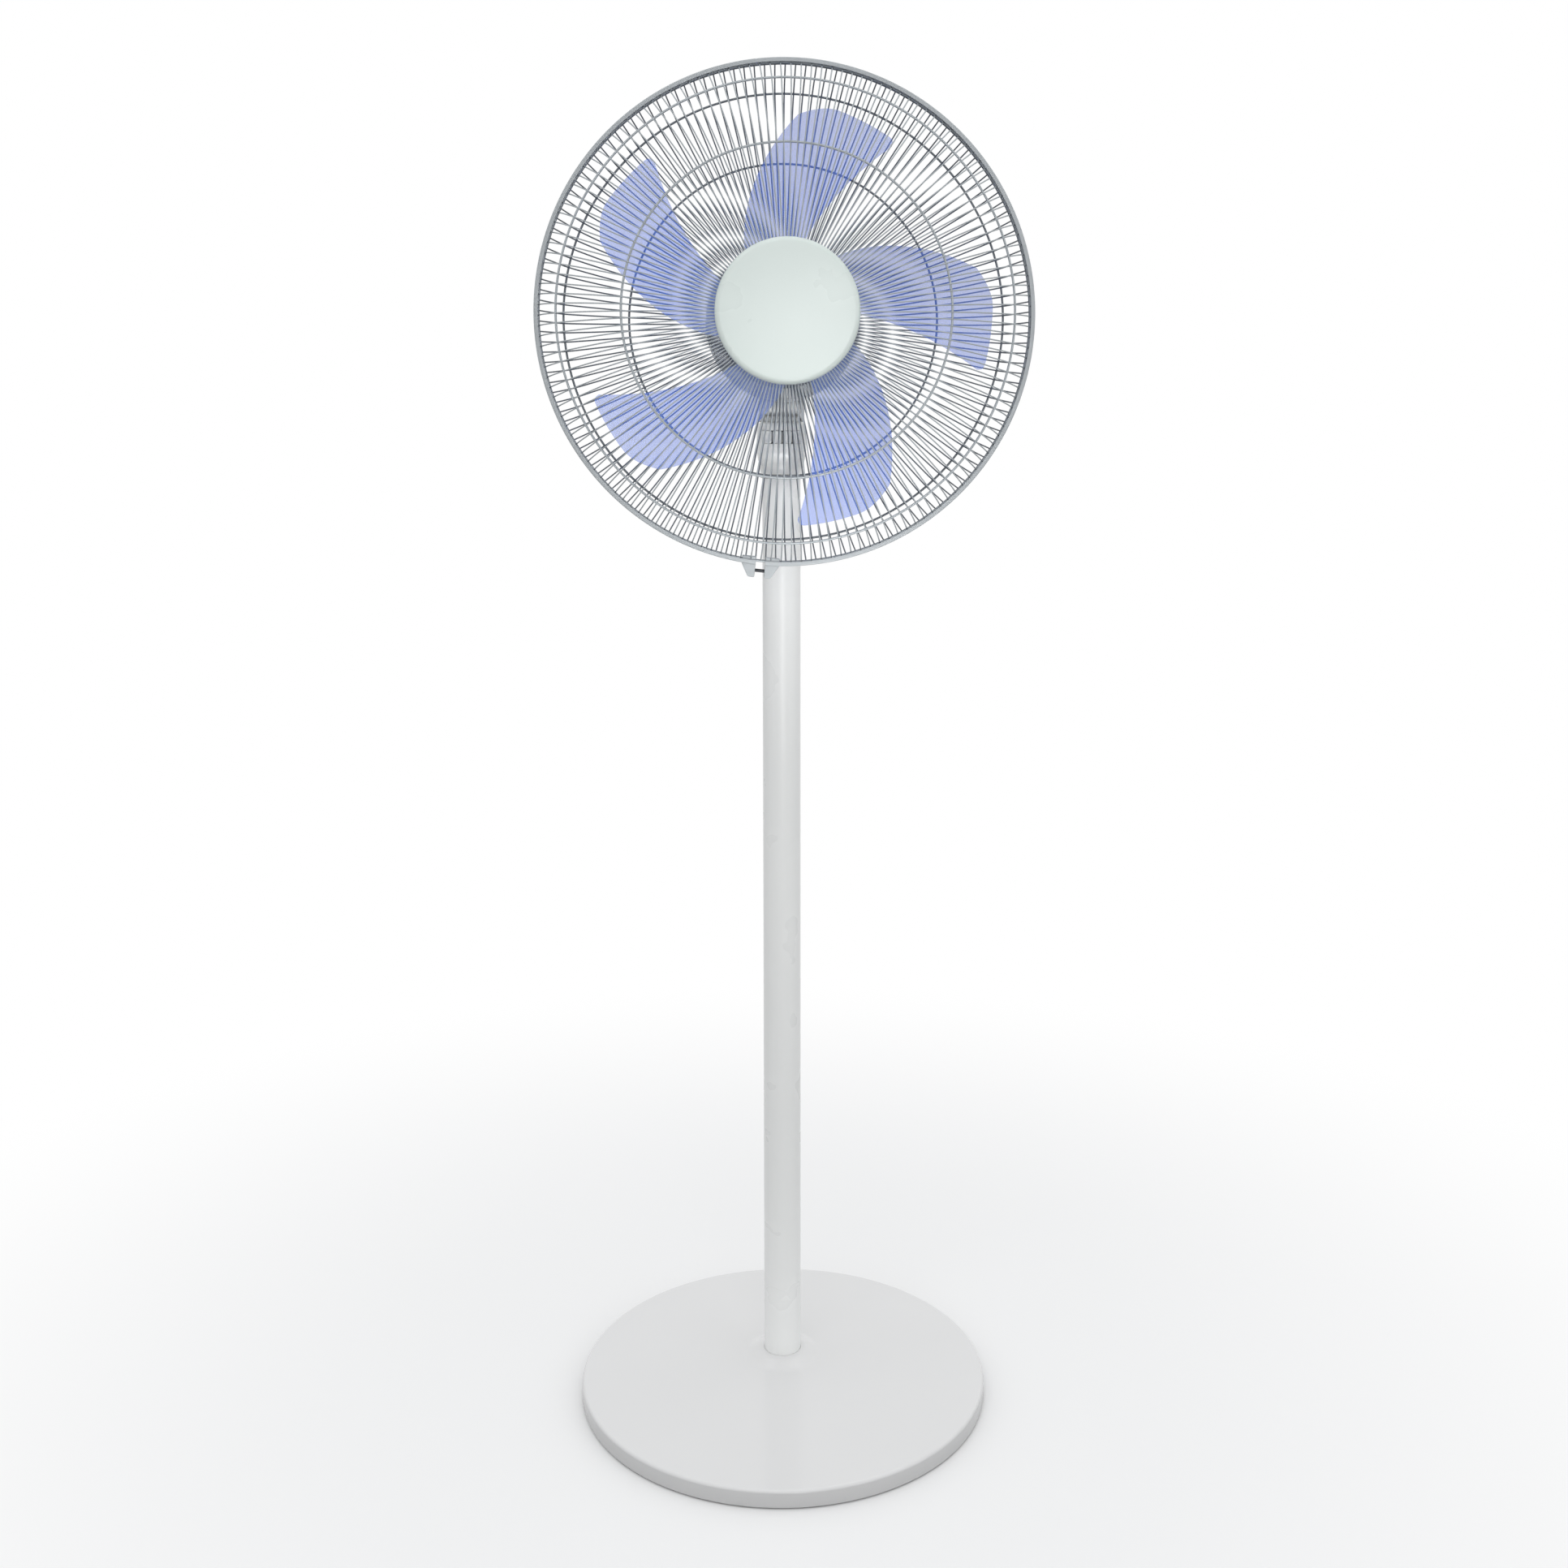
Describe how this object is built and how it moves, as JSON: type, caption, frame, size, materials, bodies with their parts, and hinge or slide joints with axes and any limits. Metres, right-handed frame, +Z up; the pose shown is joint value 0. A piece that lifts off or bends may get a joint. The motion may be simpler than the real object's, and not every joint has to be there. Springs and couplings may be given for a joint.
{
  "type": "pedestal fan",
  "caption": "Free-standing fan: weighted disc base, telescopic pole, push-key housing, tilting and panning head with wire guards.",
  "frame": {"origin": "on the floor under the centre of the base disc", "axes": "+Z up along the pole, -Y towards the front of the fan, +X to the right of a viewer who faces it"},
  "size_m": [0.4408, 0.406, 1.2854],
  "materials": {
    "base_enamel": "gloss",
    "pole_enamel": "gloss",
    "neck_enamel": "satin",
    "housing_plastic": "semi-gloss",
    "cap_plastic": "semi-gloss",
    "blade_plastic": "translucent",
    "guard_wire": "satin",
    "rear_guard_wire": "satin",
    "ring_plastic": "satin",
    "steel": "zinc plated",
    "dark_steel": "blackened",
    "chrome": "polished",
    "cast_metal": "as cast",
    "laminations": "stacked sheet",
    "brass": "sintered",
    "nylon": "moulded",
    "black_plastic": "moulded",
    "rubber": "moulded",
    "concrete": "cast"
  },
  "bodies": {
    "stand": {"base_cover": "base_enamel", "base_weight": "concrete", "foot_pad_1": "rubber", "foot_pad_2": "rubber", "foot_pad_3": "rubber", "foot_pad_4": "rubber", "foot_pad_5": "rubber", "pole_flange": "cast_metal", "pole_bolt": "steel", "pole_washer": "steel", "outer_tube": "pole_enamel", "pole_top_bush": "nylon", "knob_nut": "nylon"},
    "height_knob": {"height_knob": "housing_plastic"},
    "riser": {"inner_tube": "chrome", "control_housing_front": "housing_plastic", "control_housing_rear": "housing_plastic", "switch_block": "black_plastic", "capacitor": "black_plastic", "cord_gland": "nylon", "housing_screw_upper": "steel", "housing_screw_lower": "steel", "neck_bracket": "neck_enamel", "tilt_bolt": "steel", "tilt_nut": "steel"},
    "key_off": {"key_off": "housing_plastic"},
    "key_low": {"key_low": "housing_plastic"},
    "key_medium": {"key_medium": "housing_plastic"},
    "key_high": {"key_high": "housing_plastic"},
    "tilt": {"tilt_block": "neck_enamel", "thrust_washer": "nylon"},
    "link": {"link": "steel"},
    "head": {"motor_front_cover": "neck_enamel", "motor_rear_cover": "cast_metal", "bearing_front": "brass", "bearing_rear": "brass", "stator": "laminations", "motor_bolt_1": "steel", "motor_bolt_2": "steel", "pivot_pin": "steel", "gearbox_case": "cast_metal", "motor_shell": "housing_plastic", "shell_screw": "steel", "rear_guard": "rear_guard_wire", "guard_nut": "nylon", "front_guard": "guard_wire", "guard_cap": "cap_plastic", "guard_cap_back": "nylon", "cap_screw": "steel", "guard_clip_ring": "ring_plastic", "clip_screw": "dark_steel", "clip_nut": "dark_steel"},
    "crank": {"crank": "steel"},
    "pan_knob": {"pan_knob": "housing_plastic"},
    "rotor": {"shaft": "steel", "drive_pin": "steel", "rotor_core": "laminations", "impeller": "blade_plastic", "spinner": "housing_plastic"}
  },
  "joints": [
    {"name": "height_slide", "type": "slide", "parent": "stand", "child": "riser", "axis": [0, 0, 1], "range_m": [0, 0.2]},
    {"name": "height_knob_turn", "type": "hinge", "parent": "stand", "child": "height_knob", "pos_m": [0, 0.025, 0.9045], "axis": [0, 1, 0], "range_deg": [0, 270]},
    {"name": "off_press", "type": "slide", "parent": "riser", "child": "key_off", "axis": [0, 1, 0], "range_m": [0, 0.003], "stiffness_N_per_m": 300},
    {"name": "low_press", "type": "slide", "parent": "riser", "child": "key_low", "axis": [0, 1, 0], "range_m": [0, 0.003], "stiffness_N_per_m": 300},
    {"name": "medium_press", "type": "slide", "parent": "riser", "child": "key_medium", "axis": [0, 1, 0], "range_m": [0, 0.003], "stiffness_N_per_m": 300},
    {"name": "high_press", "type": "slide", "parent": "riser", "child": "key_high", "axis": [0, 1, 0], "range_m": [0, 0.003], "stiffness_N_per_m": 300},
    {"name": "head_tilt", "type": "hinge", "parent": "riser", "child": "tilt", "pos_m": [0, 0.025, 0.99], "axis": [-1, 0, 0], "range_deg": [-10, 20]},
    {"name": "head_pan", "type": "hinge", "parent": "tilt", "child": "head", "pos_m": [0, 0.025, 0.99], "axis": [0, 0, 1], "range_deg": [-35, 35]},
    {"name": "link_turn", "type": "hinge", "parent": "tilt", "child": "link", "pos_m": [-0.015, 0.025, 1.005], "axis": [0, 0, 1], "range_deg": [-30, 30]},
    {"name": "crank_turn", "type": "hinge", "parent": "head", "child": "crank", "pos_m": [0, 0.067, 1.02], "axis": [0, 0, 1], "range_deg": [-62, 62]},
    {"name": "pan_knob_pull", "type": "slide", "parent": "head", "child": "pan_knob", "axis": [0, 0, 1], "range_m": [0, 0.008]},
    {"name": "rotor_spin", "type": "hinge", "parent": "head", "child": "rotor", "pos_m": [0, 0.025, 1.065], "axis": [0, 1, 0], "continuous": true}
  ],
  "couplings": [
    {"joint": "link_turn", "follows": "head_pan", "ratio": 0.82},
    {"joint": "crank_turn", "follows": "head_pan", "ratio": -1.75}
  ]
}
